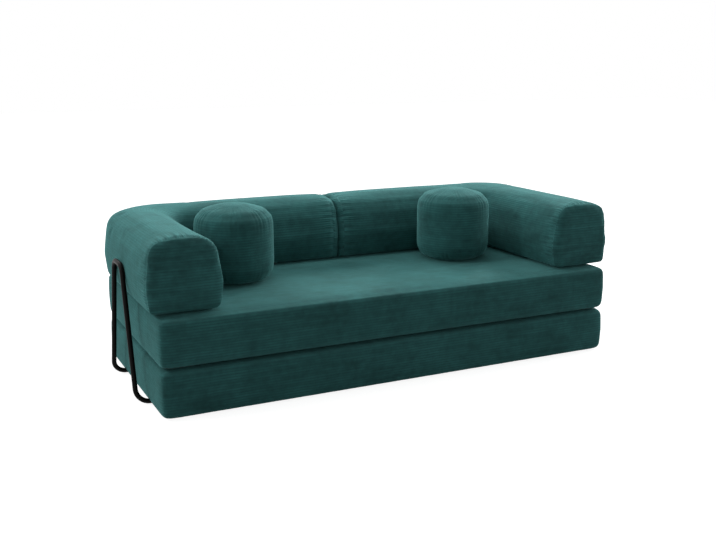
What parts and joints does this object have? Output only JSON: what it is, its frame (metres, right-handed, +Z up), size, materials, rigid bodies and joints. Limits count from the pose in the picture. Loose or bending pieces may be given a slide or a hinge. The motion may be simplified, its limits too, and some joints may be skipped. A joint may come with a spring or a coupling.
{
  "type": "modular sofa bed",
  "caption": "Low modular sofa bed of two stacked mattresses, L-shaped arm and back bolsters, round poufs and bent tube brackets.",
  "frame": {"origin": "on the floor, in the middle of the lower mattress's underside", "axes": "+X to the right as one faces the seat, along the length; +Y to the back; +Z up"},
  "size_m": [2.209, 0.9879, 0.7408],
  "materials": {
    "corduroy": "matte",
    "base_cloth": "matte",
    "foam": "matte",
    "filling": "matte",
    "powder_coated_steel": "satin",
    "black_plastic": "matte",
    "zip_metal": "satin",
    "zip_tape": "matte"
  },
  "bodies": {
    "lower_mattress": {"lower_mattress_foam_core": "foam", "lower_mattress_cover_top": "corduroy", "lower_mattress_cover_border": "corduroy", "lower_mattress_cover_base": "base_cloth", "lower_mattress_zip_tape": "zip_tape"},
    "upper_mattress": {"upper_mattress_foam_core": "foam", "upper_mattress_cover_top": "corduroy", "upper_mattress_cover_border": "corduroy", "upper_mattress_cover_base": "base_cloth", "upper_mattress_zip_tape": "zip_tape"},
    "left_bolster": {"left_bolster_foam_core": "foam", "left_bolster_cover_wrap": "corduroy", "left_bolster_cover_base": "corduroy", "left_bolster_cover_front_end": "corduroy", "left_bolster_cover_inner_end": "corduroy", "left_bolster_zip_tape": "zip_tape"},
    "left_pouf": {"left_pouf_filling": "filling", "left_pouf_cover_top": "corduroy", "left_pouf_cover_band": "corduroy", "left_pouf_cover_base": "corduroy", "left_pouf_zip_tape": "zip_tape"},
    "left_bracket": {"left_bracket_tube": "powder_coated_steel", "left_bracket_end_plugs": "black_plastic", "left_bracket_floor_glides": "black_plastic"},
    "right_bolster": {"right_bolster_foam_core": "foam", "right_bolster_cover_wrap": "corduroy", "right_bolster_cover_base": "corduroy", "right_bolster_cover_front_end": "corduroy", "right_bolster_cover_inner_end": "corduroy", "right_bolster_zip_tape": "zip_tape"},
    "right_pouf": {"right_pouf_filling": "filling", "right_pouf_cover_top": "corduroy", "right_pouf_cover_band": "corduroy", "right_pouf_cover_base": "corduroy", "right_pouf_zip_tape": "zip_tape"},
    "right_bracket": {"right_bracket_tube": "powder_coated_steel", "right_bracket_end_plugs": "black_plastic", "right_bracket_floor_glides": "black_plastic"},
    "lower_mattress_zip_slider": {"lower_mattress_zip_slider": "zip_metal"},
    "lower_mattress_zip_pull": {"lower_mattress_zip_pull": "zip_metal"},
    "upper_mattress_zip_slider": {"upper_mattress_zip_slider": "zip_metal"},
    "upper_mattress_zip_pull": {"upper_mattress_zip_pull": "zip_metal"},
    "left_bolster_zip_slider": {"left_bolster_zip_slider": "zip_metal"},
    "left_bolster_zip_pull": {"left_bolster_zip_pull": "zip_metal"},
    "right_bolster_zip_slider": {"right_bolster_zip_slider": "zip_metal"},
    "right_bolster_zip_pull": {"right_bolster_zip_pull": "zip_metal"},
    "left_pouf_zip_slider": {"left_pouf_zip_slider": "zip_metal"},
    "left_pouf_zip_pull": {"left_pouf_zip_pull": "zip_metal"},
    "right_pouf_zip_slider": {"right_pouf_zip_slider": "zip_metal"},
    "right_pouf_zip_pull": {"right_pouf_zip_pull": "zip_metal"}
  },
  "joints": [
    {"name": "upper_mattress_lift", "type": "slide", "parent": "lower_mattress", "child": "upper_mattress", "axis": [0, 0, 1], "range_m": [0, 0.4]},
    {"name": "left_bolster_lift", "type": "slide", "parent": "upper_mattress", "child": "left_bolster", "axis": [0, 0, 1], "range_m": [0, 0.36]},
    {"name": "left_pouf_lift", "type": "slide", "parent": "upper_mattress", "child": "left_pouf", "axis": [0, 0, 1], "range_m": [0, 0.4]},
    {"name": "left_bracket_pull_out", "type": "slide", "parent": "lower_mattress", "child": "left_bracket", "axis": [-1, 0, 0], "range_m": [0, 0.4]},
    {"name": "right_bolster_lift", "type": "slide", "parent": "upper_mattress", "child": "right_bolster", "axis": [0, 0, 1], "range_m": [0, 0.36]},
    {"name": "right_pouf_lift", "type": "slide", "parent": "upper_mattress", "child": "right_pouf", "axis": [0, 0, 1], "range_m": [0, 0.4]},
    {"name": "right_bracket_pull_out", "type": "slide", "parent": "lower_mattress", "child": "right_bracket", "axis": [1, 0, 0], "range_m": [0, 0.4]},
    {"name": "lower_mattress_zip", "type": "slide", "parent": "lower_mattress", "child": "lower_mattress_zip_slider", "axis": [-1, 0, 0], "range_m": [0, 1.456]},
    {"name": "lower_mattress_zip_pull_swing", "type": "hinge", "parent": "lower_mattress_zip_slider", "child": "lower_mattress_zip_pull", "pos_m": [0.728, 0.4736, 0.099], "axis": [0, 0, 1], "range_deg": [0, 180]},
    {"name": "upper_mattress_zip", "type": "slide", "parent": "upper_mattress", "child": "upper_mattress_zip_slider", "axis": [-1, 0, 0], "range_m": [0, 1.456]},
    {"name": "upper_mattress_zip_pull_swing", "type": "hinge", "parent": "upper_mattress_zip_slider", "child": "upper_mattress_zip_pull", "pos_m": [0.728, 0.4736, 0.3014], "axis": [0, 0, 1], "range_deg": [0, 180]},
    {"name": "left_bolster_zip", "type": "slide", "parent": "left_bolster", "child": "left_bolster_zip_slider", "axis": [-1, 0, 0], "range_m": [0, 0.576]},
    {"name": "left_bolster_zip_pull_swing", "type": "hinge", "parent": "left_bolster_zip_slider", "child": "left_bolster_zip_pull", "pos_m": [-0.139, 0.51807, 0.4708], "axis": [0, 0, 1], "range_deg": [0, 180]},
    {"name": "right_bolster_zip", "type": "slide", "parent": "right_bolster", "child": "right_bolster_zip_slider", "axis": [-1, 0, 0], "range_m": [0, 0.576]},
    {"name": "right_bolster_zip_pull_swing", "type": "hinge", "parent": "right_bolster_zip_slider", "child": "right_bolster_zip_pull", "pos_m": [0.715, 0.51807, 0.4708], "axis": [0, 0, 1], "range_deg": [0, 180]},
    {"name": "left_pouf_zip", "type": "hinge", "parent": "left_pouf", "child": "left_pouf_zip_slider", "pos_m": [-0.586, 0.025, 0.4668], "axis": [0, 0, 1], "range_deg": [0, 153.16]},
    {"name": "left_pouf_zip_pull_swing", "type": "hinge", "parent": "left_pouf_zip_slider", "child": "left_pouf_zip_pull", "pos_m": [-0.41106, 0.00482, 0.4668], "axis": [0, 0, 1], "range_deg": [0, 180]},
    {"name": "right_pouf_zip", "type": "hinge", "parent": "right_pouf", "child": "right_pouf_zip_slider", "pos_m": [0.512, 0.025, 0.4668], "axis": [0, 0, 1], "range_deg": [0, 153.16]},
    {"name": "right_pouf_zip_pull_swing", "type": "hinge", "parent": "right_pouf_zip_slider", "child": "right_pouf_zip_pull", "pos_m": [0.68694, 0.00482, 0.4668], "axis": [0, 0, 1], "range_deg": [0, 180]}
  ]
}
